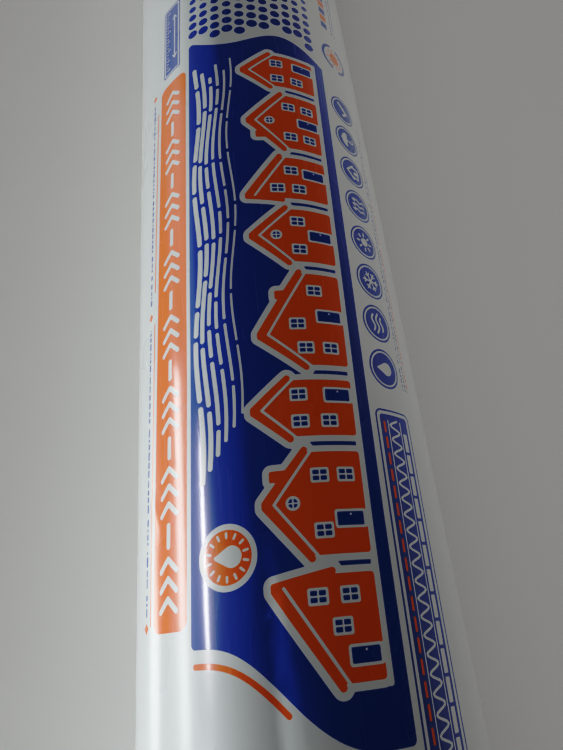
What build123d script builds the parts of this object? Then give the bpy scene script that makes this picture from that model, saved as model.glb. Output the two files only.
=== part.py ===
from build123d import *
import os

# Roll of breathable building membrane in its printed wrapping film.
# It lies on its side: the axis runs along Y, the floor is Z = 0, and the
# origin is on the floor under the middle of the roll. Millimetres.

# ---- driving dimensions ----
ROLL_LENGTH = 1600.0  # full web width of the membrane
WRAPPED_DIAMETER = 150.0  # over the wrapping film
FILM_THICKNESS = 0.1  # wrapping film, one turn
BORE_DIAMETER = 50.0  # open middle that the roll was wound round

# The membrane is about 0.35 mm a turn, 143 turns from the bore to the
# film. At each end every sixth turn or so stands back a little, which leaves
# a narrow V-shaped ring in the end face.
TURN_PITCH = 0.35
TURNS_PER_RING = 6
RING_WIDTH = 0.7
RING_DEPTH = 0.6
END_LAND = 1.75  # unbroken end face next to the bore and next to the film

# ---- derived ----
FILM_OUTER = WRAPPED_DIAMETER / 2
FILM_INNER = FILM_OUTER - FILM_THICKNESS
BORE_RADIUS = BORE_DIAMETER / 2
HALF_LENGTH = ROLL_LENGTH / 2
RING_PITCH = TURN_PITCH * TURNS_PER_RING

os.makedirs("parts", exist_ok=True)


def ring_starts():
    """Inner radius of each narrow ring, from the bore outwards."""
    starts = []
    r = BORE_RADIUS + END_LAND
    while r + RING_WIDTH + END_LAND <= FILM_INNER + 1e-9:
        starts.append(r)
        r += RING_PITCH
    return starts


def lying(solid):
    """Takes a solid that was turned about Z to where it lies, along Y."""
    return Pos(0, 0, FILM_OUTER) * Rot(-90, 0, 0) * solid


# ---- the wound membrane: one turned solid with its bore ----
# Half section in the XZ plane, x is the radius and z runs along the roll.
starts = ring_starts()
outline = [(BORE_RADIUS, HALF_LENGTH)]
for r in starts:
    outline += [
        (r, HALF_LENGTH),
        (r + RING_WIDTH / 2, HALF_LENGTH - RING_DEPTH),
        (r + RING_WIDTH, HALF_LENGTH),
    ]
outline.append((FILM_INNER, HALF_LENGTH))
section = outline + [(x, -z) for x, z in reversed(outline)]

with BuildPart() as roll:
    with BuildSketch(Plane.XZ):
        with BuildLine():
            Polyline(*section, close=True)
        make_face()
    revolve(axis=Axis.Z)

# ---- the wrapping film: a thin sleeve, flush with both ends ----
with BuildPart() as film:
    with BuildSketch(Plane.XY.offset(-HALF_LENGTH)):
        Circle(FILM_OUTER)
        Circle(FILM_INNER, mode=Mode.SUBTRACT)
    extrude(amount=ROLL_LENGTH)

pieces = {
    "membrane_roll": lying(roll.part),
    "wrapper_film": lying(film.part),
}

for name, piece in pieces.items():
    export_step(piece, f"parts/{name}.step")
    box = piece.bounding_box()
    print(
        name,
        "volume_l",
        round(piece.volume / 1e6, 4),
        "low",
        [round(v, 3) for v in box.min],
        "high",
        [round(v, 3) for v in box.max],
    )
print("rings on each end", len(starts))
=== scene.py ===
import math

import bpy
import numpy as np
from mathutils import Matrix, Vector
from mathutils.geometry import delaunay_2d_cdt


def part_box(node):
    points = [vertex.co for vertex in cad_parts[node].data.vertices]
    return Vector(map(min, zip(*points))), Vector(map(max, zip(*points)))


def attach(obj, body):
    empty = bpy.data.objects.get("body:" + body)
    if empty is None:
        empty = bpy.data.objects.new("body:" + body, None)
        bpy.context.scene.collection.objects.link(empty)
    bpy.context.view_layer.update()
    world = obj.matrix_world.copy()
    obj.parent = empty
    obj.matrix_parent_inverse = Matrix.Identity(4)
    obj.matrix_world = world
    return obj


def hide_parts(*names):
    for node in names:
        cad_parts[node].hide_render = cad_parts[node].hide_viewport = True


# A roll of building membrane in its printed wrapping film, lying along Y on
# the floor. Metres in the scene; the tables below are in millimetres.

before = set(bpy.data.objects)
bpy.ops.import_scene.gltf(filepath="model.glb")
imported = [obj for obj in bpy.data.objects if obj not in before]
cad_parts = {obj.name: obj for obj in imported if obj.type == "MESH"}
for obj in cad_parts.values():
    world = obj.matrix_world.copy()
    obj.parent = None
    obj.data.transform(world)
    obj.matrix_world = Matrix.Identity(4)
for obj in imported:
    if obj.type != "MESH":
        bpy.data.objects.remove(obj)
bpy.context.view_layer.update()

film_low, film_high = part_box("wrapper_film")
RADIUS = (film_high.x - film_low.x) * 500.0  # outside of the film
LENGTH = (film_high.y - film_low.y) * 1000.0
HALF = LENGTH / 2
AXIS_Z = (film_high.z + film_low.z) * 500.0
ROLL_RADIUS = RADIUS - 0.1  # outside of the membrane
BORE_RADIUS = 25.0
TURN = 2 * math.pi * RADIUS

# ---------------------------------------------------------------------------
# The film as it was cut: a rectangle of CUT_WIDTH by LENGTH, laid round the
# roll with its printing a little askew, so its lap runs askew too.
# t runs across the film and y along the roll.
# ---------------------------------------------------------------------------
SKEW = 0.034  # millimetres round the roll for each millimetre along it
PRINT_Y = -205.0  # where the printing's own zero lies along the roll
LAP = 35.4
INNER_EDGE = -339.0
OUTER_EDGE = INNER_EDGE + TURN + LAP
CUT_WIDTH = OUTER_EDGE - INNER_EDGE
REPEAT = LENGTH / 3  # the printing repeats three times along the roll
WINDOW_LOW = -HALF - PRINT_Y + REPEAT  # the repeats meet here, in print x


def smooth(a, b, x):
    k = np.clip((x - a) / (b - a), 0.0, 1.0)
    return k * k * (3 - 2 * k)


# ---------------------------------------------------------------------------
# Shapes of the printing: signed distances, in the printing's own frame.
# X runs along the roll, Y across it.
# ---------------------------------------------------------------------------
def disc(cx, cy, r):
    return (cx - r, cx + r, cy - r, cy + r), lambda X, Y: np.hypot(X - cx, Y - cy) - r


def slab(cx, cy, hx, hy, r=0.0, turn=0.0):
    c, s = math.cos(turn), math.sin(turn)
    reach = math.hypot(hx, hy)

    def f(X, Y):
        px, py = X - cx, Y - cy
        qx = np.abs(c * px + s * py) - hx + r
        qy = np.abs(-s * px + c * py) - hy + r
        return (
            np.hypot(np.maximum(qx, 0), np.maximum(qy, 0))
            + np.minimum(np.maximum(qx, qy), 0)
            - r
        )

    return (cx - reach, cx + reach, cy - reach, cy + reach), f


def line(points, r):
    pts = np.array(points, float)

    def f(X, Y):
        d = np.full(X.shape, 1e9)
        for (ax, ay), (bx, by) in zip(pts[:-1], pts[1:]):
            ex, ey = bx - ax, by - ay
            k = np.clip(
                ((X - ax) * ex + (Y - ay) * ey) / max(ex * ex + ey * ey, 1e-12), 0, 1
            )
            d = np.minimum(d, np.hypot(X - ax - k * ex, Y - ay - k * ey))
        return d - r

    lo, hi = pts.min(0) - r, pts.max(0) + r
    return (lo[0], hi[0], lo[1], hi[1]), f


def polygon(points, r=0.0):
    """A closed polygon, grown by r with round corners."""
    pts = np.array(points, float)

    def f(X, Y):
        d = np.full(X.shape, 1e18)
        inside = np.zeros(X.shape, bool)
        for (ax, ay), (bx, by) in zip(pts, np.roll(pts, -1, 0)):
            ex, ey = bx - ax, by - ay
            wx, wy = X - ax, Y - ay
            k = np.clip((wx * ex + wy * ey) / max(ex * ex + ey * ey, 1e-12), 0, 1)
            d = np.minimum(d, (wx - k * ex) ** 2 + (wy - k * ey) ** 2)
            if by != ay:
                inside ^= ((ay > Y) != (by > Y)) & (X < ex * (Y - ay) / (by - ay) + ax)
        d = np.sqrt(d)
        return np.where(inside, -d, d) - r

    lo, hi = pts.min(0) - r, pts.max(0) + r
    return (lo[0], hi[0], lo[1], hi[1]), f


def ring(cx, cy, r, half):
    box, f = disc(cx, cy, r)
    box = (box[0] - half, box[1] + half, box[2] - half, box[3] + half)
    return box, lambda X, Y: np.abs(f(X, Y)) - half


def arc(cx, cy, r, a0, a1, half, n=14):
    a = np.radians(np.linspace(a0, a1, n))
    return line(np.c_[cx + r * np.cos(a), cy + r * np.sin(a)], half)


def grown(shape, by):
    box, f = shape
    box = (box[0] - by, box[1] + by, box[2] - by, box[3] + by)
    return box, lambda X, Y: f(X, Y) - by


class Printing:
    """What ink shows where: below zero in blue's field is blue, below zero in orange's is orange, and the rest is the white film."""

    STEP = 0.4
    LOW, HIGH = -86.0, 86.0
    FAR = 8.0

    def __init__(self):
        self.xs = np.arange(WINDOW_LOW, WINDOW_LOW + REPEAT + self.STEP / 2, self.STEP)
        self.ys = np.arange(self.LOW, self.HIGH + self.STEP / 2, self.STEP)
        shape = (len(self.ys), len(self.xs))
        self.blue = np.full(shape, self.FAR)
        self.orange = np.full(shape, self.FAR)

    def paint(self, ink, *shapes):
        for box, f in shapes:
            i0, i1 = np.searchsorted(self.xs, (box[0] - 4, box[1] + 4))
            j0, j1 = np.searchsorted(self.ys, (box[2] - 4, box[3] + 4))
            if i1 <= i0 or j1 <= j0:
                continue
            X, Y = np.meshgrid(self.xs[i0:i1], self.ys[j0:j1])
            s = f(X, Y)
            for name in ("blue", "orange"):
                field = getattr(self, name)
                was = field[j0:j1, i0:i1]
                field[j0:j1, i0:i1] = (
                    np.minimum(was, s) if name == ink else np.maximum(was, -s)
                )

    def sample(self, field, X, Y):
        gx = np.clip((X - self.xs[0]) / self.STEP, 0, len(self.xs) - 1.001)
        gy = np.clip((Y - self.ys[0]) / self.STEP, 0, len(self.ys) - 1.001)
        i, j = gx.astype(int), gy.astype(int)
        fx, fy = gx - i, gy - j
        a = field[j, i] * (1 - fx) + field[j, i + 1] * fx
        b = field[j + 1, i] * (1 - fx) + field[j + 1, i + 1] * fx
        v = a * (1 - fy) + b * fy
        out = (Y < self.LOW) | (Y > self.HIGH)
        return np.where(out, self.FAR, v)


def house(x0, x1, eave, ridge, at=0.5, chimney=None, base=-30.0):
    """A house's silhouette with softly rounded corners. at is where the ridge lies, from the left wall to the right."""
    r = 1.3
    a, b, low = x0 + r, x1 - r, base + r
    peak = x0 + (x1 - x0) * at
    peak = min(max(peak, a), b)
    pts = [
        (a, low),
        (b, low),
        (b, eave - 1.0),
        (b + 2.4, eave - 2.4),
        (peak + (0.8 if at < 0.98 else 0.0), ridge - 1.6),
        (peak - (0.8 if at > 0.02 else 0.0), ridge - 1.6),
        (a - 2.4, eave - 2.4),
        (a, eave - 1.0),
    ]
    shapes = [polygon(pts, r)]
    if chimney is not None:
        cx, top = chimney
        shapes.append(slab(cx, (top + eave) / 2, 2.3, (top - eave) / 2, 0.8))
    return shapes


def window(cx, cy, hx=3.1, hy=3.9):
    return (
        ("white", slab(cx, cy, hx, hy, 0.9)),
        ("blue", slab(cx, cy, hx - 1.05, hy - 1.05, 0.3)),
        ("white", slab(cx, cy, 0.34, hy - 0.6)),
        ("white", slab(cx, cy, hx - 0.6, 0.34)),
    )


def door(cx, base=-30.0, hx=3.7, h=13.5):
    return (
        ("white", slab(cx, base + h / 2, hx, h / 2, 1.2)),
        ("blue", slab(cx, base + h / 2 + 0.1, hx - 1.1, h / 2 - 1.2, 0.5)),
        ("white", disc(cx + hx - 2.1, base + h / 2, 0.5)),
    )


def glyph(kind, cx, cy):
    """A small white sign within 6 mm of its middle."""
    if kind == "drop":
        a = np.radians(np.linspace(-215, 35, 22))
        pts = [(cx + 3.4 * math.cos(t), cy - 1.3 + 3.4 * math.sin(t)) for t in a]
        return [polygon([*pts, (cx, cy + 5.6)])]
    if kind == "wind":
        out = []
        for k, w in ((3.0, 4.4), (0.0, 5.4), (-3.0, 3.6)):
            x = np.linspace(-w, w, 15)
            y = k + 0.9 * np.sin(x * 0.75)
            out.append(line(np.c_[cx + x, cy + y], 0.55))
        return out
    if kind == "frost":
        out = []
        for k in range(6):
            a = math.radians(60 * k + 30)
            d = np.array((math.cos(a), math.sin(a)))
            out.append(line([(cx, cy), (cx + 5.5 * d[0], cy + 5.5 * d[1])], 0.42))
            for turn in (-0.9, 0.9):
                e = np.array((math.cos(a + turn), math.sin(a + turn)))
                p = np.array((cx, cy)) + 3.3 * d
                out.append(line([p, p + 1.9 * e], 0.36))
        return out
    if kind == "sun":
        out = [disc(cx, cy, 2.5)]
        for k in range(8):
            a = math.radians(45 * k)
            c, s = math.cos(a), math.sin(a)
            out.append(
                line([(cx + 3.8 * c, cy + 3.8 * s), (cx + 5.5 * c, cy + 5.5 * s)], 0.5)
            )
        return out
    if kind == "vapour":
        out = []
        for k in (-3.2, 0.0, 3.2):
            y = np.linspace(-5, 2.6, 15)
            x = k + 0.6 * np.sin(y * 1.2)
            out.append(line(np.c_[cx + x, cy + y], 0.45))
            out.append(
                polygon(
                    [
                        (cx + k - 1.5, cy + 2.6),
                        (cx + k + 1.5, cy + 2.6),
                        (cx + k, cy + 5.2),
                    ]
                )
            )
        return out
    if kind == "home":
        pts = [(-4.6, -0.4), (0, 4.6), (4.6, -0.4)]
        return [
            line([(cx + x, cy + y) for x, y in pts], 0.6),
            line(
                [
                    (cx + x, cy + y)
                    for x, y in [(-3.4, 0.2), (-3.4, -4.6), (3.4, -4.6), (3.4, 0.2)]
                ],
                0.5,
            ),
            slab(cx, cy - 2.8, 1.1, 1.9),
        ]
    if kind == "cover":
        a = np.radians(np.linspace(0, 180, 20))
        pts = [(cx + 5.2 * math.cos(t), cy + 0.4 + 4.6 * math.sin(t)) for t in a]
        return [
            polygon(pts),
            line([(cx, cy + 5.4), (cx, cy - 4.0)], 0.42),
            arc(cx + 1.3, cy - 4.0, 1.3, 180, 360, 0.42, 8),
        ]
    a = [(-3.8, 0.2), (-1.0, -3.0), (4.4, 3.6)]
    return [line([(cx + x, cy + y) for x, y in a], 0.85)]


def fine_rows(p, rng, x0, x1, y, half, ink, low=0.8, high=4.4, gap=0.75, rise=0.0):
    """A row of small bars of uneven length, as fine as small print."""
    x = x0
    while x < x1:
        n = rng.uniform(low, high)
        end = min(x + n, x1)
        if end - x > 0.6:
            k = y + rise * (x - x0)
            p.paint(
                ink,
                slab(
                    (x + end) / 2,
                    k,
                    (end - x) / 2,
                    half * rng.choice((1.0, 1.0, 0.72)),
                    0.16,
                ),
            )
        x = end + gap * rng.uniform(0.8, 1.5) + (1.7 if rng.random() < 0.16 else 0.0)


def draw():
    p = Printing()
    rng = np.random.default_rng(41)

    # the blue panel, with a wave for each end
    yy = np.linspace(-36.6, 41.0, 38)
    k = (yy + 32.0) / 73.0
    left = -38.0 + 36.0 * (k - 0.16 * np.sin(2 * np.pi * k))
    right = 322.0 - 12.0 * (1 - k) + 6.5 * np.sin(2 * np.pi * k)
    pts = [*zip(left + 2, yy), *zip(right[::-1] - 2, yy[::-1])]
    p.paint("blue", polygon(pts, 2.0))
    # a narrow orange ribbon beside its left end
    ribbon = [(x - 5.6, y) for x, y in zip(left, yy) if 4.0 < y < 42.0]
    p.paint("orange", line(ribbon, 1.05))

    # dots that shrink away from the panel's right end
    pitch = 7.4
    for row in range(11):
        y = 40.2 - row * pitch * 0.955
        x = 331.5 + (row % 2) * pitch / 2 + 6.5 * math.sin(2 * math.pi * (y + 32) / 73)
        x -= 12.0 * (1 - (y + 32) / 73)
        start = x
        while x < 452:
            r = 3.1 - 2.3 * min(1.0, max(0.0, (x - start) / 105.0)) ** 0.8
            if r > 0.85:
                p.paint("blue", disc(x, y, r))
            x += pitch

    # the row of houses: walls, eaves, ridge, where the ridge lies, chimney,
    # windows, door and round attic window
    row = [
        ((-17, 19, -11, 10, 0.9), None, ((11.6, -7.4), (11.6, -19.5), (1.2, -15.6)), -8.6, None),
        ((26, 66, -4, 12, 0.5), (57, 8.2), ((35, -12), (56.5, -12), (56.5, -23)), 39, (46, -0.6)),
        ((73, 98, 1, 15, 0.5), None, ((79.5, -6), (91.5, -6), (79.5, -18.5)), 91, None),
        ((105, 152, -8, 10.5, 0.33), (140.5, 1.5), ((113.5, -11), (125.5, -8), (113.5, -22.5), (143, -17)), 129.5, None),
        ((159, 190, -4, 12, 0.5), None, ((166.2, -12), (182.8, -12)), 174.5, (174.5, -1.2)),
        ((197, 224, -3, 13, 0.08), None, ((203.6, -3.5), (203.6, -14.5), (215.6, -11)), 214, None),
        ((231, 270, -6, 11, 0.5), (240.5, 6.0), ((239.5, -12.5), (261.5, -12.5), (239.5, -23.3), (261.5, -23.3)), 250.5, (250.5, -1.6)),
        ((277, 302, -1, 13, 0.5), None, ((283.4, -7.5), (295.6, -7.5), (283.4, -19)), 295.2, None),
    ]
    drawn = [house(*walls, chimney) for walls, chimney, *_ in row]
    for shapes in drawn:
        p.paint("white", *[grown(s, 2.7) for s in shapes])
    p.paint("white", slab(142.5, -31.0, 162.0, 1.7, 1.2))
    for shapes in drawn:
        p.paint("orange", *shapes)
    for (x0, x1, eave, ridge, at), _, panes, entry, attic in row:
        # the white line under the roof
        drop = 4.9
        peak = x0 + (x1 - x0) * at
        ends = []
        if at > 0.2:
            ends.append((x0 - 1.2, eave - drop - 0.7))
        ends.append((min(max(peak, x0 + 1.5), x1 - 1.5), ridge - drop - 0.3))
        if at < 0.8:
            ends.append((x1 + 1.2, eave - drop - 0.7))
        p.paint("white", line(ends, 0.62))
        for cx, cy in panes:
            for ink, shape in window(cx, cy):
                p.paint(ink, shape)
        for ink, shape in door(entry):
            p.paint(ink, shape)
        if attic:
            p.paint("white", disc(*attic, 2.9))
            p.paint("blue", disc(*attic, 1.85))
            p.paint("white", slab(*attic, 0.3, 1.9))
            p.paint("white", slab(*attic, 1.9, 0.3))

    # broken lines of wind over the roofs, thinner towards the houses
    for i in range(6):
        y0, half = 38.0 - 3.75 * i, 1.32 - 0.155 * i
        x, stop = 58.0 + 5.5 * i, 300.0 - 3.0 * ((i * 2) % 5)
        while x < stop:
            end = min(stop, x + rng.uniform(10, 36))
            if stop - end < 6:
                end = stop
            n = max(2, int((end - x) / 4))
            xs = np.linspace(x + half, max(x + half + 0.5, end - half), n)
            ys = y0 + 1.7 * np.sin(xs * 2 * np.pi / 96.0 - 0.32 * i)
            p.paint("white", line(np.c_[xs, ys], half))
            x = end + 2.0
    # a sun behind a drop
    p.paint("white", disc(29.0, 26.4, 12.4))
    p.paint("orange", disc(29.0, 26.4, 10.2))
    for k in range(14):
        a = 2 * math.pi * k / 14
        c, s = math.cos(a), math.sin(a)
        p.paint(
            "white", line([(29 + 7.2 * c, 26.4 + 7.2 * s), (29 + 8.9 * c, 26.4 + 8.9 * s)], 0.5)
        )
    for shape in glyph("drop", 29.0, 25.6):
        p.paint("white", grown(shape, 0.7))

    # the orange strip, with arrowheads in threes and a bar between
    p.paint("orange", slab(155.0, 56.2, 150.0, 11.0, 4.6))
    x = 15.0
    while x < 296:
        for k in range(3):
            cx = x + 7.6 * k
            p.paint(
                "white",
                line([(cx - 2.3, 61.2), (cx + 2.3, 56.2), (cx - 2.3, 51.2)], 1.15),
            )
        if x + 38 < 300:
            p.paint("white", slab(x + 26.6, 56.2, 5.4, 1.2, 1.1))
        x += 37.6
    p.paint("orange", slab(78.0, 70.2, 70.0, 0.45, 0.3))
    p.paint("orange", slab(228.0, 70.2, 62.0, 0.45, 0.3))
    fine_rows(p, rng, 12, 146, 74.4, 0.8, "blue")
    fine_rows(p, rng, 160, 300, 74.4, 0.8, "blue")
    for cx in (7.5, 153.0, 306.0):
        p.paint("orange", slab(cx, 74.4, 1.6, 1.6, 0.2, math.pi / 4))

    # a box with a scale's marks, no figures
    p.paint("blue", slab(343.0, 57.4, 30.0, 7.6, 1.6))
    p.paint("white", slab(343.0, 57.4, 29.1, 6.7, 1.1))
    p.paint("blue", slab(343.0, 57.4, 28.2, 5.8, 0.7))
    for k in range(19):
        h = 3.9 if k % 6 == 0 else (2.7 if k % 3 == 0 else 1.6)
        p.paint("white", slab(318.0 + k * 2.78, 62.0 - h / 2, 0.3, h / 2))
    p.paint("white", line([(324, 54.6), (362, 54.6)], 0.36))
    p.paint("white", line([(327, 56.2), (324, 54.6), (327, 53.0)], 0.36))
    p.paint("white", line([(359, 56.2), (362, 54.6), (359, 53.0)], 0.36))

    # lower right: a wall's section, with its layers
    p.paint("blue", slab(17.0, -53.4, 70.0, 11.8, 3.4))
    p.paint("white", slab(17.0, -53.4, 69.1, 10.9, 2.6))
    p.paint("blue", slab(17.0, -53.4, 67.6, 9.4, 1.6))
    x = -46.6
    while x < 82:
        p.paint("orange", slab(min(x + 2.7, 81.6), -46.5, 2.7, 0.62, 0.3))
        x += 7.2
    p.paint("white", slab(17.0, -48.8, 65.0, 0.3))
    xs = np.linspace(-48.0, 82.0, 170)
    ys = -52.9 + 2.9 * np.sin(xs * 2 * np.pi / 6.5)
    p.paint("white", line(np.c_[xs, ys], 0.5))
    p.paint("white", slab(17.0, -57.1, 65.0, 0.3))
    x = -47.4
    while x + 8 < 83:
        p.paint("white", slab(x + 4.2, -59.9, 4.2, 1.35, 0.2))
        x += 9.65

    # upper right: round badges
    kinds = ("drop", "wind", "frost", "sun", "vapour", "home", "cover", "tick")
    for n, kind in enumerate(kinds):
        cx, cy = 108.0 + 24.6 * n, -52.6
        p.paint("blue", disc(cx, cy, 10.2))
        p.paint("white", ring(cx, cy, 8.7, 0.42))
        p.paint("white", *glyph(kind, cx, cy))
    fine_rows(p, rng, 100, 262, -66.0, 0.5, "blue", 0.7, 3.0, 0.55)
    fine_rows(p, rng, 100, 284, -68.4, 0.5, "blue", 0.7, 3.0, 0.55)
    fine_rows(p, rng, 100, 226, -70.8, 0.5, "orange", 0.7, 3.0, 0.55)

    # past the badges: a sun in a broken ring, and the printer's patches
    p.paint("orange", disc(327.0, -52.5, 4.6))
    for k in range(12):
        a = 2 * math.pi * (k + 0.5) / 12
        c, s = math.cos(a), math.sin(a)
        p.paint(
            "orange",
            line([(327 + 6.0 * c, -52.5 + 6.0 * s), (327 + 7.5 * c, -52.5 + 7.5 * s)], 0.6),
        )
    p.paint("blue", arc(327, -52.5, 10.4, 20, 160, 1.1))
    p.paint("blue", arc(327, -52.5, 10.4, 200, 340, 1.1))
    for k in range(5):
        ink = ("blue", "orange")[k % 2]
        p.paint(ink, slab(356.0 + 7.4 * k, -47.0, 2.9, 2.9, 0.3))
    p.paint("blue", ring(402.0, -47.0, 2.4, 0.28))
    p.paint("blue", line([(398.2, -47.0), (405.8, -47.0)], 0.2))
    p.paint("blue", line([(402.0, -50.8), (402.0, -43.2)], 0.2))
    fine_rows(p, rng, 353, 432, -54.6, 0.55, "blue", 0.7, 3.4, 0.6)
    fine_rows(p, rng, 353, 420, -57.6, 0.55, "blue", 0.7, 3.4, 0.6)
    return p


# ---------------------------------------------------------------------------
# Outlines of the printing, by marching squares.
# ---------------------------------------------------------------------------
def outlines(p, field):
    v = np.where(np.abs(field) < 1e-9, 1e-9, field)
    ny, nx = v.shape
    neg = v < 0
    code = (
        neg[:-1, :-1] * 1 + neg[:-1, 1:] * 2 + neg[1:, 1:] * 4 + neg[1:, :-1] * 8
    ).astype(int)
    rows, cols = np.nonzero((code > 0) & (code < 15))

    # an edge's name: 2n for the one that goes along x from node n, 2n+1 along y
    def cross(name):
        n, up = divmod(name, 2)
        j, i = divmod(n, nx)
        a = v[j, i]
        b = v[j + 1, i] if up else v[j, i + 1]
        k = a / (a - b)
        x, y = p.xs[i], p.ys[j]
        return (x, y + k * p.STEP) if up else (x + k * p.STEP, y)

    table = {
        1: "SW", 2: "SE", 3: "WE", 4: "EN", 6: "SN", 7: "WN",
        8: "WN", 9: "SN", 11: "EN", 12: "WE", 13: "SE", 14: "SW",
    }
    links = {}

    def link(a, b):
        links.setdefault(a, []).append(b)
        links.setdefault(b, []).append(a)

    for j, i in zip(rows.tolist(), cols.tolist()):
        c = int(code[j, i])
        n = j * nx + i
        name = {"S": 2 * n, "N": 2 * (n + nx), "W": 2 * n + 1, "E": 2 * (n + 1) + 1}
        if c in table:
            a, b = table[c]
            link(name[a], name[b])
        else:
            mid = v[j, i] + v[j, i + 1] + v[j + 1, i] + v[j + 1, i + 1] < 0
            if (c == 5) == mid:
                link(name["S"], name["E"])
                link(name["W"], name["N"])
            else:
                link(name["S"], name["W"])
                link(name["E"], name["N"])
    loops, seen = [], set()
    for start in links:
        if start in seen:
            continue
        loop, here, before = [start], start, None
        seen.add(start)
        while True:
            ahead = [x for x in links[here] if x != before and x not in seen]
            if not ahead:
                break
            before, here = here, ahead[0]
            seen.add(here)
            loop.append(here)
        if len(loop) > 5:
            loops.append(np.array([cross(x) for x in loop]))
    return loops


def thinned(loop, tolerance):
    """The loop with the points left out that its straight runs don't need."""
    n = len(loop)
    keep = np.zeros(n + 1, bool)
    pts = np.vstack([loop, loop[:1]])
    far = int(np.argmax(np.hypot(*(loop - loop[0]).T)))
    keep[[0, far, n]] = True
    stack = [(0, far), (far, n)]
    while stack:
        a, b = stack.pop()
        if b - a < 2:
            continue
        e = pts[b] - pts[a]
        m = pts[a + 1 : b] - pts[a]
        size = math.hypot(*e)
        if size < 1e-9:
            d = np.hypot(*m.T)
        else:
            d = np.abs(m[:, 0] * e[1] - m[:, 1] * e[0]) / size
        k = int(np.argmax(d))
        if d[k] > tolerance:
            keep[a + 1 + k] = True
            stack += [(a, a + 1 + k), (a + 1 + k, b)]
    return pts[:-1][keep[:-1]]


def divided(loop, across, along):
    out = []
    for a, b in zip(loop, np.roll(loop, -1, 0)):
        n = max(
            1,
            math.ceil(abs(b[0] - a[0]) / along),
            math.ceil(abs(b[1] - a[1]) / across),
        )
        for k in range(n):
            out.append(a + (b - a) * k / n)
    return np.array(out)


def area(loop):
    x, y = loop.T
    return 0.5 * abs(np.sum(x * np.roll(y, -1) - np.roll(x, -1) * y))


# ---------------------------------------------------------------------------
# How far the film stands off the roll: long soft ripples, a few creases, and
# looser film at both ends.
# ---------------------------------------------------------------------------
def wrapped(u):
    """Round the roll, from minus half a turn to half a turn."""
    return (u + TURN / 2) % TURN - TURN / 2


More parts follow.
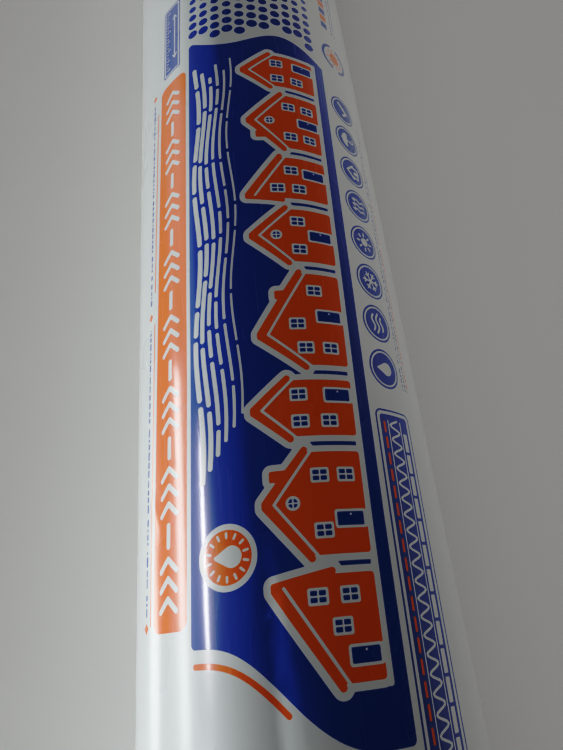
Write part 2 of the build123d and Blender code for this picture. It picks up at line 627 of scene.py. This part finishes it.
class Relief:
    def __init__(self):
        rng = np.random.default_rng(7)
        self.ridges = []
        # slack gathered in long ridges: place, wander, height, width, middle, reach
        for _ in range(58):
            self.ridges.append(
                (
                    rng.uniform(-TURN / 2, TURN / 2),
                    rng.normal(0, 0.012),
                    rng.uniform(0.04, 0.18) * (1.7 if rng.random() < 0.14 else 1.0),
                    rng.uniform(5.5, 12.0),
                    rng.uniform(-HALF, HALF),
                    rng.uniform(90, 420),
                    rng.uniform(0, 6.28),
                    rng.uniform(0.6, 2.4),
                )
            )
        # the two beside the panel's left edge, and two others
        for u, lean, h, w, y, reach in (
            (-57.0, 0.030, 0.42, 6.5, -190.0, 170.0),
            (-68.0, 0.020, 0.30, 6.0, -60.0, 210.0),
            (22.0, -0.020, 0.26, 7.0, 20.0, 160.0),
            (-12.0, 0.040, 0.22, 9.0, 60.0, 220.0),
        ):
            self.ridges.append((u, lean, h, w, y, reach, 1.0, 0.8))
        # one-sided folds: the film leaves the roll along one line, climbs evenly
        # to a second line and settles slowly beyond it. First line and its lean,
        # width to the second at a place along the roll, that place, how the width
        # grows towards the near end, widest, slope, far and near end, settling
        # distance
        self.folds = [
            (-9.3, 0.0, 0.0, -166.0, 0.215, 18.0, 0.215, -150.0, -265.0, 24.0),
            (-44.0, 0.056, 24.0, -56.0, -0.105, 70.0, 0.095, 330.0, -50.0, 34.0),
        ]
        # short creases that cross the others
        self.creases = []
        for _ in range(26):
            self.creases.append(
                (
                    rng.uniform(-TURN / 2, TURN / 2),
                    rng.uniform(-HALF + 40, HALF - 40),
                    rng.choice((-1, 1)) * rng.uniform(0.12, 0.5),
                    rng.uniform(0.03, 0.08),
                    rng.uniform(3.4, 5.2),
                    rng.uniform(16, 60),
                )
            )
        self.creases.append((-64.3, -154.0, -0.62, 0.17, 2.8, 12.0))
        self.creases.append((-8.0, -165.0, 0.30, 0.10, 3.8, 30.0))
        # the loose ends
        self.flares = []
        for side in (-1, 1):
            for _ in range(17):
                self.flares.append(
                    (
                        side,
                        rng.uniform(-TURN / 2, TURN / 2),
                        rng.uniform(0.18, 0.95),
                        rng.uniform(5.0, 13.0),
                        rng.uniform(9, 42),
                        rng.normal(0, 0.05),
                    )
                )
        self.waves = [
            (int(k), rng.uniform(0, 6.28), rng.uniform(0.4, 1.0), rng.uniform(-2.2, 2.2))
            for k in (3, 4, 5, 7, 9, 11, 14, 17)
        ]

    def __call__(self, t, y):
        u = wrapped(t + SKEW * (y - PRINT_Y))
        h = np.zeros_like(u)
        th = u / RADIUS
        for k, phase, size, drift in self.waves:
            h += (
                0.34
                * size
                / k
                * (1 + np.sin(k * th + phase + drift * np.sin(y / 520.0 + k)))
                * 0.5
            )
        for c, lean, a, w, mid, reach, phase, beat in self.ridges:
            d = wrapped(u - c - lean * (y - mid) - 1.6 * np.sin(y / 130.0 + phase))
            along = np.exp(-(((y - mid) / reach) ** 2) * 1.4)
            along = along * (0.78 + 0.22 * np.sin(beat * y / 60.0 + phase))
            h += a * along * np.exp(-((d / w) ** 2))
        for c, lean, width, place, growth, widest, slope, far, near, settle in self.folds:
            d = wrapped(u - c + lean * (y - place))
            width = np.maximum(width + growth * (place - y), 0.0)
            width = widest * np.tanh(width / widest)
            rise = 0.7 * np.logaddexp(0, d / 0.7) - 1.2 * np.logaddexp(0, (d - width) / 1.2)
            rise *= np.exp(-6.0 / settle * np.logaddexp(0, (d - width) / 6.0))
            ends = (1 - smooth(far, far + 160.0, y)) * smooth(near - 80.0, near, y)
            h += slope * rise * ends
        for c, mid, lean, a, w, reach in self.creases:
            d = wrapped(u - c - lean * (y - mid)) / math.sqrt(1 + lean * lean)
            h += (
                a
                * np.exp(-(((y - mid) / reach) ** 2))
                * np.exp(-((np.abs(d) / w) ** 1.5))
            )
        for side, c, a, w, reach, lean in self.flares:
            away = HALF - side * y
            d = wrapped(u - c - lean * away)
            h += a * np.exp(-away / reach) * np.exp(-((d / (w + 0.12 * away)) ** 2))
        h += 0.10 * (np.exp(-(HALF - y) / 14.0) + np.exp(-(HALF + y) / 14.0))
        # it's pressed flat on the roll where it lies on the floor
        low = np.abs(wrapped(u - TURN / 2)) / RADIUS
        h *= smooth(math.radians(7), math.radians(26), low)
        # the lap: the outer edge climbs over the inner one and stands off a little
        over = INNER_EDGE + TURN
        h += 0.12 * smooth(over - 7.0, over - 0.6, t)
        lift = 0.16 + 0.16 * np.sin(y / 61.0 + 1.0) * np.sin(y / 143.0) + 0.10 * np.sin(
            y / 27.0
        )
        h += np.clip(lift, 0.03, 0.5) * smooth(OUTER_EDGE - 9.0, OUTER_EDGE, t)
        return h


relief = Relief()


def surface(t, y):
    h = relief(t, y)
    a = (t + SKEW * (y - PRINT_Y)) / RADIUS
    r = RADIUS + h
    # the cut ends wander a little
    near = smooth(HALF - 16.0, HALF, np.abs(y))
    cut = 0.35 * (
        1.2 + np.sin(3 * a + 0.7) + 0.6 * np.sin(7 * a + 2.0 + np.sign(y)) + 0.3 * np.sin(19 * a)
    )
    yy = y - np.sign(y) * near * np.clip(cut, 0.0, 1.4)
    return np.stack([r * np.sin(a), yy, AXIS_Z + r * np.cos(a)], -1)


# ---------------------------------------------------------------------------
# Materials
# ---------------------------------------------------------------------------
def new_material(name):
    m = bpy.data.materials.new(name)
    m.use_nodes = True
    nt = m.node_tree
    bsdf = next(n for n in nt.nodes if n.type == "BSDF_PRINCIPLED")
    return m, nt, bsdf


def add(nt, kind, **values):
    n = nt.nodes.new(kind)
    for k, v in values.items():
        if k.startswith("in_"):
            key = k[3:].replace("_", " ")
            n.inputs[int(key) if key.isdigit() else key].default_value = v
        else:
            setattr(n, k, v)
    return n


def film_material(name, colour, rough, spec, gloss):
    """Printed polyethylene film: a clear gloss over the ink, fine drawn-out wrinkles, scuffs, and specks of dust."""
    m, nt, bsdf = new_material(name)
    bsdf.inputs["Base Color"].default_value = (*colour, 1.0)
    bsdf.inputs["IOR"].default_value = 1.5
    bsdf.inputs["Specular IOR Level"].default_value = spec
    bsdf.inputs["Coat Weight"].default_value = 1.0
    bsdf.inputs["Coat Roughness"].default_value = gloss
    bsdf.inputs["Coat IOR"].default_value = 1.6
    link = nt.links.new
    where = add(nt, "ShaderNodeTexCoord")
    # drawn out along the roll
    long_map = add(nt, "ShaderNodeMapping")
    long_map.inputs["Scale"].default_value = (1.0, 0.07, 1.0)
    link(where.outputs["Object"], long_map.inputs["Vector"])
    long_noise = add(
        nt, "ShaderNodeTexNoise", in_Scale=150.0, in_Detail=3.0, in_Roughness=0.5
    )
    link(long_map.outputs["Vector"], long_noise.inputs["Vector"])
    # uneven, as where hands and handling have dulled it
    patch = add(
        nt, "ShaderNodeTexNoise", in_Scale=9.0, in_Detail=4.0, in_Roughness=0.6
    )
    link(where.outputs["Object"], patch.inputs["Vector"])
    # fine scuffs
    scuff_map = add(nt, "ShaderNodeMapping")
    scuff_map.inputs["Rotation"].default_value = (0.3, 0.2, 0.9)
    scuff_map.inputs["Scale"].default_value = (1.0, 0.05, 1.0)
    link(where.outputs["Object"], scuff_map.inputs["Vector"])
    scuff = add(
        nt, "ShaderNodeTexNoise", in_Scale=420.0, in_Detail=2.0, in_Roughness=0.5
    )
    link(scuff_map.outputs["Vector"], scuff.inputs["Vector"])
    scuff_cut = add(nt, "ShaderNodeMapRange")
    for key, v in (
        ("From Min", 0.62), ("From Max", 0.74), ("To Min", 0.0), ("To Max", 0.16),
    ):
        scuff_cut.inputs[key].default_value = v
    link(scuff.outputs["Fac"], scuff_cut.inputs["Value"])
    rough_range = add(nt, "ShaderNodeMapRange")
    for key, v in (
        ("From Min", 0.3), ("From Max", 0.7), ("To Min", rough - 0.05), ("To Max", rough + 0.07),
    ):
        rough_range.inputs[key].default_value = v
    link(patch.outputs["Fac"], rough_range.inputs["Value"])
    rough_sum = add(nt, "ShaderNodeMath", operation="ADD", use_clamp=True)
    link(rough_range.outputs["Result"], rough_sum.inputs[0])
    link(scuff_cut.outputs["Result"], rough_sum.inputs[1])
    link(rough_sum.outputs["Value"], bsdf.inputs["Roughness"])
    # specks of dust under and on the film
    dust = add(nt, "ShaderNodeTexVoronoi", feature="F1", in_Scale=95.0, in_Randomness=1.0)
    link(where.outputs["Object"], dust.inputs["Vector"])
    dust_cut = add(nt, "ShaderNodeMapRange")
    for key, v in (
        ("From Min", 0.035), ("From Max", 0.09), ("To Min", 1.0), ("To Max", 0.0),
    ):
        dust_cut.inputs[key].default_value = v
    link(dust.outputs["Distance"], dust_cut.inputs["Value"])
    bump_long = add(nt, "ShaderNodeBump", in_Strength=0.08, in_Distance=0.0009)
    link(long_noise.outputs["Fac"], bump_long.inputs["Height"])
    bump_dust = add(nt, "ShaderNodeBump", in_Strength=0.35, in_Distance=0.0002)
    link(dust_cut.outputs["Result"], bump_dust.inputs["Height"])
    link(bump_long.outputs["Normal"], bump_dust.inputs["Normal"])
    link(bump_dust.outputs["Normal"], bsdf.inputs["Normal"])
    return m


def membrane_material():
    """Spun nonwoven: matt, fibrous, a little uneven from turn to turn, with painted shade in the grooves between turns
    and painted light on turns that stand out.
    """
    m, nt, bsdf = new_material("membrane_nonwoven")
    link = nt.links.new
    bsdf.inputs["Specular IOR Level"].default_value = 0.25
    bsdf.inputs["Sheen Weight"].default_value = 0.25
    bsdf.inputs["Sheen Roughness"].default_value = 0.6
    where = add(nt, "ShaderNodeTexCoord")
    # the per-point tone from the roll: each turn's own tone, with painted shade in the grooves between turns and
    # painted light on turns that stand out
    turns = add(nt, "ShaderNodeAttribute", attribute_name="turn_tone_and_painted_shade")
    fibre = add(nt, "ShaderNodeTexNoise", in_Scale=900.0, in_Detail=5.0, in_Roughness=0.7)
    link(where.outputs["Object"], fibre.inputs["Vector"])
    cloud = add(nt, "ShaderNodeTexNoise", in_Scale=26.0, in_Detail=3.0, in_Roughness=0.6)
    link(where.outputs["Object"], cloud.inputs["Vector"])
    total = add(nt, "ShaderNodeMath", operation="MULTIPLY_ADD", use_clamp=True)
    link(cloud.outputs["Fac"], total.inputs[0])
    total.inputs[1].default_value = 0.22
    link(turns.outputs["Fac"], total.inputs[2])
    ramp = add(nt, "ShaderNodeValToRGB")
    ramp.color_ramp.elements[0].position = 0.05
    ramp.color_ramp.elements[0].color = (0.44, 0.46, 0.47, 1)
    ramp.color_ramp.elements[1].position = 0.95
    ramp.color_ramp.elements[1].color = (0.86, 0.87, 0.86, 1)
    link(total.outputs["Value"], ramp.inputs["Fac"])
    link(ramp.outputs["Color"], bsdf.inputs["Base Color"])
    rough = add(nt, "ShaderNodeMapRange")
    rough.inputs["To Min"].default_value = 0.72
    rough.inputs["To Max"].default_value = 0.95
    link(fibre.outputs["Fac"], rough.inputs["Value"])
    link(rough.outputs["Result"], bsdf.inputs["Roughness"])
    bump = add(nt, "ShaderNodeBump", in_Strength=0.5, in_Distance=0.0004)
    link(fibre.outputs["Fac"], bump.inputs["Height"])
    link(bump.outputs["Normal"], bsdf.inputs["Normal"])
    return m


WHITE_FILM = film_material("film_white", (0.79, 0.825, 0.81), 0.30, 0.40, 0.20)
BLUE_INK = film_material("film_blue", (0.036, 0.090, 0.42), 0.25, 0.36, 0.11)
ORANGE_INK = film_material("film_orange", (0.95, 0.180, 0.034), 0.26, 0.36, 0.12)
MEMBRANE = membrane_material()


# ---------------------------------------------------------------------------
# The wrapping film: one continuous sheet, its inks divided along their
# outlines
# ---------------------------------------------------------------------------
def build_film():
    p = draw()
    loops = []
    for field in (p.blue, p.orange):
        for loop in outlines(p, field):
            loop = thinned(loop, 0.035)
            if len(loop) >= 3 and area(loop) > 0.2:
                loops.append(divided(loop, 3.0, 7.0))
    across = np.linspace(INNER_EDGE, OUTER_EDGE, round(CUT_WIDTH / 3.0) + 1)
    along = np.linspace(-HALF, HALF, round(LENGTH / 8.0) + 1)
    step = across[1] - across[0]
    grid = []
    for j, y in enumerate(along):
        rank = across if j % 2 == 0 else np.r_[across[0], across[:-1] + step / 2, across[-1]]
        if j == 0 or j == len(along) - 1:
            rank = across
        grid.append(np.c_[rank, np.full(len(rank), y)])
    # more rows close to the two ends, where the film is looser
    for y in (3.0, 5.5, 12.0, 20.0):
        for side in (-1, 1):
            grid.append(np.c_[across, np.full(len(across), side * (HALF - y))])
    grid = np.vstack(grid)
    X = (grid[:, 1] - PRINT_Y - WINDOW_LOW) % REPEAT + WINDOW_LOW
    away = np.minimum(
        np.abs(p.sample(p.blue, X, -grid[:, 0])), np.abs(p.sample(p.orange, X, -grid[:, 0]))
    )
    edge = (
        (grid[:, 0] < INNER_EDGE + 1e-6)
        | (grid[:, 0] > OUTER_EDGE - 1e-6)
        | (np.abs(grid[:, 1]) > HALF - 1e-6)
    )
    grid = grid[(away > 1.25) | edge]
    points, edges = [grid], []
    n = len(grid)
    for k in (-1, 0, 1):
        for loop in loops:
            m = len(loop)
            points.append(np.c_[-loop[:, 1], loop[:, 0] + PRINT_Y + REPEAT * k])
            edges += [(n + i, n + (i + 1) % m) for i in range(m)]
            n += m
    points = np.vstack(points)
    verts, _, faces, *_ = delaunay_2d_cdt(
        [Vector(q) for q in points], edges, [], 0, 1e-4
    )
    flat = np.array([v[:] for v in verts])
    tri = np.array([f for f in faces if len(f) == 3])
    # leave out slivers with no area
    a, b, c = flat[tri[:, 0]], flat[tri[:, 1]], flat[tri[:, 2]]
    size = (b[:, 0] - a[:, 0]) * (c[:, 1] - a[:, 1]) - (c[:, 0] - a[:, 0]) * (
        b[:, 1] - a[:, 1]
    )
    tri = tri[np.abs(size) > 1e-7]
    mid = flat[tri].mean(1)
    X = (mid[:, 1] - PRINT_Y - WINDOW_LOW) % REPEAT + WINDOW_LOW
    blue = p.sample(p.blue, X, -mid[:, 0])
    orange = p.sample(p.orange, X, -mid[:, 0])
    ink = np.where(orange < 0, 2, np.where(blue < 0, 1, 0))

    co = surface(flat[:, 0], flat[:, 1])
    e = 0.25
    at = surface(flat[:, 0] + e, flat[:, 1]) - surface(flat[:, 0] - e, flat[:, 1])
    ay = surface(flat[:, 0], flat[:, 1] + e) - surface(flat[:, 0], flat[:, 1] - e)
    normal = np.cross(ay, at)
    out = co - np.array([0, 0, AXIS_Z]) * 1.0
    out[:, 1] = 0
    flip = np.sign((normal * out).sum(1))
    normal *= flip[:, None]
    normal /= np.linalg.norm(normal, axis=1)[:, None]
    # faces look outwards
    n0 = np.cross(co[tri[:, 1]] - co[tri[:, 0]], co[tri[:, 2]] - co[tri[:, 0]])
    back = (n0 * normal[tri[:, 0]]).sum(1) < 0
    tri[back] = tri[back][:, ::-1]

    me = bpy.data.meshes.new("wrapping_film")
    me.from_pydata((co / 1000.0).tolist(), [], tri.tolist())
    me.polygons.foreach_set("material_index", ink.astype(np.int32))
    me.polygons.foreach_set("use_smooth", np.ones(len(tri), bool))
    for m in (WHITE_FILM, BLUE_INK, ORANGE_INK):
        me.materials.append(m)
    corner = np.empty(len(me.loops), np.int32)
    me.loops.foreach_get("vertex_index", corner)
    uv = me.uv_layers.new(name="OFBake")
    place = np.c_[
        0.002 + 0.996 * (flat[:, 0] - INNER_EDGE) / CUT_WIDTH,
        0.002 + 0.996 * (flat[:, 1] + HALF) / LENGTH,
    ]
    uv.data.foreach_set("uv", place[corner].astype(np.float32).ravel())
    me.validate(clean_customdata=False)
    me.normals_split_custom_set_from_vertices(normal.tolist())
    me.update()
    ob = bpy.data.objects.new("wrapping_film", me)
    bpy.context.scene.collection.objects.link(ob)
    print(
        "film", len(me.vertices), "points", len(me.polygons), "faces",
        "inks", np.bincount(ink, minlength=3).tolist(),
    )
    return ob


# ---------------------------------------------------------------------------
# The wound membrane: one sheet in a spiral from the bore to the film. On each
# end every turn shows as a small ridge.
# ---------------------------------------------------------------------------
def build_roll():
    rng = np.random.default_rng(19)
    n, turns = 128, 142
    pitch = (ROLL_RADIUS - BORE_RADIUS) / (turns + 1)
    count = n * turns
    i = np.arange(count + n + 1)
    angle = 2 * np.pi * i / n - 0.9
    valley_r = BORE_RADIUS + pitch * i / n
    ridge_r = valley_r[: count + 1] + pitch / 2

    def end_profile(seed):
        r = np.random.default_rng(seed)
        # each turn stands a little in or out, and some stand out in groups
        knots = np.cumsum(r.normal(0, 0.10, turns + 3))
        knots -= np.linspace(knots[0], knots[-1], turns + 3)
        steps = np.zeros(turns + 3)
        for _ in range(9):
            a = r.integers(3, turns - 12)
            steps[a : a + r.integers(3, 11)] += r.uniform(-0.55, 0.35)
        fine = r.normal(0, 0.11, turns + 3)
        k = np.arange(turns + 3)
        where = np.arange(count + n + 1) / n
        base = np.interp(where, k, 0.5 * knots + steps + fine)
        swing = 0.10 * np.sin(angle * 2 + where * 0.15) + 0.05 * np.sin(
            angle * 5 + where * 0.4
        )
        v = base + swing
        return np.clip(v, -0.9, 0.55)

    verts, tone_and_painted_shade = [], []
    for side in (-1, 1):
        v = end_profile(101 + side)
        top = v[: count + 1]
        nxt = v[n : count + n + 1]
        # the outermost point stays inside the film's end
        ridge_y = HALF - 0.95 + top
        valley_y = np.empty(count + n + 1)
        valley_y[:] = HALF - 0.95 + v - 0.16
        valley_y[n : count + 1] = (
            HALF - 0.95 + np.minimum(v[n : count + 1], v[: count + 1 - n]) - 0.16
        )
        valley_y[:n] = HALF - 0.95 + v[:n] - 0.05
        valley_y[count + 1 :] = HALF - 0.95 + v[count + 1 - n : count + 1] - 0.05
        verts.append(
            np.c_[valley_r * np.sin(angle), side * valley_y, AXIS_Z + valley_r * np.cos(angle)]
        )
        a = angle[: count + 1]
        verts.append(np.c_[ridge_r * np.sin(a), side * ridge_y, AXIS_Z + ridge_r * np.cos(a)])
        # painted shade: each valley between turns is painted darker the deeper it lies, and turns that stand out are
        # painted lighter; by_turn gives each turn its own tone
        tone_and_painted_shade.append(np.clip(0.30 + 0.10 * (valley_y - HALF + 1.1), 0.1, 0.6))
        turn_no = np.arange(count + 1) // n
        by_turn = rng.normal(0, 0.07, turns + 2)[turn_no]
        tone_and_painted_shade.append(np.clip(0.74 + by_turn + 0.12 * (top + 0.2), 0.35, 1.0))
    per_side = len(verts[0]) + len(verts[1])
    V = lambda side, k: side * per_side + k
    M = lambda side, k: side * per_side + (count + n + 1) + k
    faces = []
    k = np.arange(count)
    for side in (0, 1):
        q1 = np.c_[V(side, k), V(side, k + 1), M(side, k + 1), M(side, k)]
        q2 = np.c_[M(side, k), M(side, k + 1), V(side, k + 1 + n), V(side, k + n)]
        if side == 0:
            faces += [q1, q2]
        else:
            faces += [q1[:, ::-1], q2[:, ::-1]]
    faces = [f for block in faces for f in block.tolist()]

    points = np.vstack(verts)
    tone_and_painted_shade = np.concatenate(tone_and_painted_shade)
    # the bore, the outside under the film and the two ends of the sheet run
    # the length of the roll
    cuts = np.linspace(0, 1, 15)[1:-1]

    def wall(ids0, ids1, closed, outward):
        """A strip of wall from the end at -y to the end at +y."""
        nonlocal points, tone_and_painted_shade, faces
        a, b = points[ids0], points[ids1]
        rows = [np.array(ids0)]
        for c in cuts:
            start = len(points)
            points = np.vstack([points, a + (b - a) * c])
            tone_and_painted_shade = np.concatenate([tone_and_painted_shade, np.full(len(a), 0.72)])
            rows.append(np.arange(start, start + len(a)))
        rows.append(np.array(ids1))
        for r0, r1 in zip(rows[:-1], rows[1:]):
            for s in range(len(r0) - 1):
                f = [int(r0[s]), int(r0[s + 1]), int(r1[s + 1]), int(r1[s])]
                faces.append(f[::-1] if outward else f)
        return rows

    inner = np.arange(0, n + 1)
    wall(V(0, inner), V(1, inner), True, False)
    outer = np.arange(count, count + n + 1)
    wall(V(0, outer), V(1, outer), True, True)
    # inner and outer end of the sheet
    wall(
        np.array([V(0, 0), M(0, 0), V(0, n)]), np.array([V(1, 0), M(1, 0), V(1, n)]), False, True
    )
    wall(
        np.array([V(0, count), M(0, count), V(0, count + n)]),
        np.array([V(1, count), M(1, count), V(1, count + n)]),
        False,
        False,
    )
    me = bpy.data.meshes.new("wound_membrane")
    me.from_pydata((points / 1000.0).tolist(), [], faces)
    import bmesh

    bm = bmesh.new()
    bm.from_mesh(me)
    # attributes go along with the points
    tone_and_shade_layer = bm.verts.layers.float.new("turn_tone_and_painted_shade")
    for vert, tone in zip(bm.verts, tone_and_painted_shade.tolist()):
        vert[tone_and_shade_layer] = tone
    bmesh.ops.remove_doubles(bm, verts=bm.verts, dist=1e-6)
    bmesh.ops.recalc_face_normals(bm, faces=bm.faces)
    bm.to_mesh(me)
    bm.free()
    me.materials.append(MEMBRANE)
    me.polygons.foreach_set("use_smooth", np.ones(len(me.polygons), bool))
    me.set_sharp_from_angle(angle=math.radians(48))
    me.update()
    ob = bpy.data.objects.new("wound_membrane", me)
    bpy.context.scene.collection.objects.link(ob)
    tris = sum(len(f.vertices) - 2 for f in me.polygons)
    print("roll", len(me.vertices), "points", tris, "triangles")
    return ob


film = build_film()
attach(film, "root")
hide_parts("wrapper_film")

roll = build_roll()
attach(roll, "root")
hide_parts("membrane_roll")


# ---------------------------------------------------------------------------
# A pale floor, soft light mostly from the left, and the camera over the roll
# ---------------------------------------------------------------------------
floor_mat, floor_nt, floor_bsdf = new_material("floor")
floor_bsdf.inputs["Base Color"].default_value = (0.84, 0.83, 0.805, 1.0)
floor_bsdf.inputs["Roughness"].default_value = 0.5
floor_bsdf.inputs["Specular IOR Level"].default_value = 0.3
me = bpy.data.meshes.new("floor")
s = 8.0
me.from_pydata([(-s, -s, 0), (s, -s, 0), (s, s, 0), (-s, s, 0)], [], [(0, 1, 2, 3)])
me.materials.append(floor_mat)
floor = bpy.data.objects.new("floor", me)
bpy.context.scene.collection.objects.link(floor)


def area_light(
    name, place, target, size, power, colour=(1, 1, 1), spread=180.0, shape="RECTANGLE"
):
    data = bpy.data.lights.new(name, "AREA")
    data.shape = shape
    data.size, data.size_y = size
    data.energy = power
    data.color = colour
    data.spread = math.radians(spread)
    ob = bpy.data.objects.new(name, data)
    ob.location = place
    aim = Vector(target) - Vector(place)
    ob.rotation_mode = "QUATERNION"
    # local X along the roll, so that size[0] is the length along Y
    z = -aim.normalized()
    x = Vector((0, 1, 0))
    x = (x - x.dot(z) * z).normalized()
    yv = z.cross(x)
    ob.rotation_quaternion = Matrix((x, yv, z)).transposed().to_quaternion()
    ob.visible_camera = False
    bpy.context.scene.collection.objects.link(ob)
    return ob


# the lamps light the roll alone. Soft light comes from the left, low down and
# towards -Y, with a weaker one high up and one at the right. The film's bright
# lines are a long low window, a narrow gap above it, and a strip close beside
# the roll, which only shine in the gloss. Each end has a lamp of its own.
roll_only = bpy.data.collections.new("roll_only")
roll_only.objects.link(film)
roll_only.objects.link(roll)
DAY = (0.91, 0.97, 1.0)
WARM = (1.0, 0.985, 0.96)
for lamp, matt, gloss in (
    (area_light("low", (-0.9, -0.60, 0.012), (0, -0.60, 0.10), (1.1, 0.02), 12.0, DAY), 1, 0),
    (area_light("far", (-1.7, 0.32, 0.53), (0, 0.18, 0.10), (0.8, 0.3), 2.6, DAY), 1, 0),
    (area_light("high", (-1.7, -0.10, 1.3), (0, -0.10, 0.10), (1.6, 0.6), 6.2, DAY), 1, 0),
    (area_light("low_right", (0.5, -0.06, 0.012), (0, -0.06, 0.08), (0.2, 0.02), 0.12, WARM), 1, 0),
    (area_light("panel", (-1.6, 0.20, 0.34), (0, 0.20, 0.12), (3.6, 0.62), 1.7, DAY), 0, 1),
    (area_light("window", (-1.5, 0.06, 0.335), (0, 0.06, 0.08), (1.10, 0.12), 4.9, DAY), 0, 1),
    (area_light("window_near", (-1.4, -0.74, 0.70), (0, -0.34, 0.10), (0.50, 0.30), 2.5, DAY), 0, 1),
    (
        area_light(
            "gap", (-1.15, 0.0, 0.69), (0, -0.15, 0.08), (0.60, 0.050), 3.1,
            (0.97, 0.94, 1.0), shape="ELLIPSE",
        ), 0, 1,
    ),
    (
        area_light(
            "rim", (-0.17, -0.17, 0.071), (-0.056, -0.17, 0.125), (0.50, 0.016), 0.009,
            (0.96, 1.0, 1.0), spread=60.0, shape="ELLIPSE",
        ), 0, 1,
    ),
    (
        area_light(
            "right", (0.85, 0.45, 0.36), (0.055, 0.10, 0.10), (0.5, 0.4), 0.095, WARM, 36.0
        ), 1, 0,
    ),
    (area_light("front", (0.5, -3.6, 0.9), (0, -0.8, 0.07), (1.2, 1.0), 0.75, WARM, 42.0), 1, 1),
    (area_light("back", (0.9, 3.5, 0.9), (0, 0.85, 0.07), (1.2, 1.0), 0.65, WARM, 36.0), 1, 0),
):
    lamp.visible_diffuse = bool(matt)
    lamp.visible_glossy = bool(gloss)
    lamp.light_linking.receiver_collection = roll_only

# the pale floor has a wide soft light of its own
floor_only = bpy.data.collections.new("floor_only")
floor_only.objects.link(floor)
over = bpy.data.lights.new("overhead", "SUN")
over.energy = 0.8
over.angle = math.radians(100)
over = bpy.data.objects.new("overhead", over)
over.rotation_euler = (0.1, -0.25, 0)
over.light_linking.receiver_collection = floor_only
bpy.context.scene.collection.objects.link(over)

# a room that is pale towards the horizon, less so at the right and the near end,
# and dim overhead
world = bpy.data.worlds.new("room")
world.use_nodes = True
wt = world.node_tree
background = wt.nodes["Background"]
sky = wt.nodes.new("ShaderNodeTexCoord")
split = wt.nodes.new("ShaderNodeSeparateXYZ")
fade = wt.nodes.new("ShaderNodeValToRGB")
wt.links.new(sky.outputs["Generated"], split.inputs["Vector"])
wt.links.new(split.outputs["Z"], fade.inputs["Fac"])
fade.color_ramp.interpolation = "EASE"
fade.color_ramp.elements[0].position = 0.02
fade.color_ramp.elements[0].color = (0.38, 0.372, 0.358, 1.0)
fade.color_ramp.elements[1].position = 0.34
fade.color_ramp.elements[1].color = (0.034, 0.030, 0.031, 1.0)
# seen directly, it is a plain pale backdrop
backdrop = wt.nodes.new("ShaderNodeValToRGB")
backdrop.color_ramp.elements[0].position = 0.02
backdrop.color_ramp.elements[0].color = (0.38, 0.372, 0.358, 1.0)
backdrop.color_ramp.elements[1].position = 0.6
backdrop.color_ramp.elements[1].color = (0.27, 0.265, 0.255, 1.0)
wt.links.new(split.outputs["Z"], backdrop.inputs["Fac"])
ray = wt.nodes.new("ShaderNodeLightPath")
pick = wt.nodes.new("ShaderNodeMix")
pick.data_type = "RGBA"
wt.links.new(ray.outputs["Is Camera Ray"], pick.inputs[0])
side = wt.nodes.new("ShaderNodeMapRange")
for key, v in (("From Min", -0.6), ("From Max", 1.2), ("To Min", 1.0), ("To Max", 0.42)):
    side.inputs[key].default_value = v
lean = wt.nodes.new("ShaderNodeMath")
lean.operation = "SUBTRACT"
wt.links.new(split.outputs["X"], lean.inputs[0])
wt.links.new(split.outputs["Y"], lean.inputs[1])
wt.links.new(lean.outputs["Value"], side.inputs["Value"])
dim = wt.nodes.new("ShaderNodeVectorMath")
dim.operation = "SCALE"
wt.links.new(fade.outputs["Color"], dim.inputs[0])
wt.links.new(side.outputs["Result"], dim.inputs["Scale"])
wt.links.new(dim.outputs["Vector"], pick.inputs[6])
wt.links.new(backdrop.outputs["Color"], pick.inputs[7])
wt.links.new(pick.outputs[2], background.inputs["Color"])
background.inputs["Strength"].default_value = 1.0
bpy.context.scene.world = world
view = bpy.context.scene.view_settings
view.view_transform = "Standard"
view.look = "None"
# deep tones print a little deeper and bright ones roll off, as in a camera
view.use_curve_mapping = True
tone = view.curve_mapping
tone.use_clip = True
tone.clip_max_x = 2.0
tone.curves[3].points[1].location = (1.9, 1.0)
for x, y in (
    (0.012, 0.004), (0.028, 0.011), (0.06, 0.031), (0.085, 0.068), (0.12, 0.127), (0.2, 0.218),
    (0.31, 0.328), (0.5, 0.505), (0.65, 0.625), (0.85, 0.745), (1.1, 0.86), (1.5, 0.97),
):
    tone.curves[3].points.new(x, y)
tone.update()

cam_data = bpy.data.cameras.new("camera")
cam_data.sensor_width = 36.0
cam_data.lens = 27.36
cam_data.clip_start = 0.01
cam_data.clip_end = 50.0
camera = bpy.data.objects.new("camera", cam_data)
turn = Matrix(
    (
        (0.9952155602, 0.0970015056, -0.0116917338),
        (-0.0931125573, 0.9053848128, -0.4142564331),
        (-0.0295979795, 0.4133630954, 0.9100851119),
    )
)
camera.rotation_mode = "QUATERNION"
camera.rotation_quaternion = turn.to_quaternion()
camera.location = (0.0, PRINT_Y / 1000.0, 0.3718)
bpy.context.scene.collection.objects.link(camera)
bpy.context.scene.camera = camera
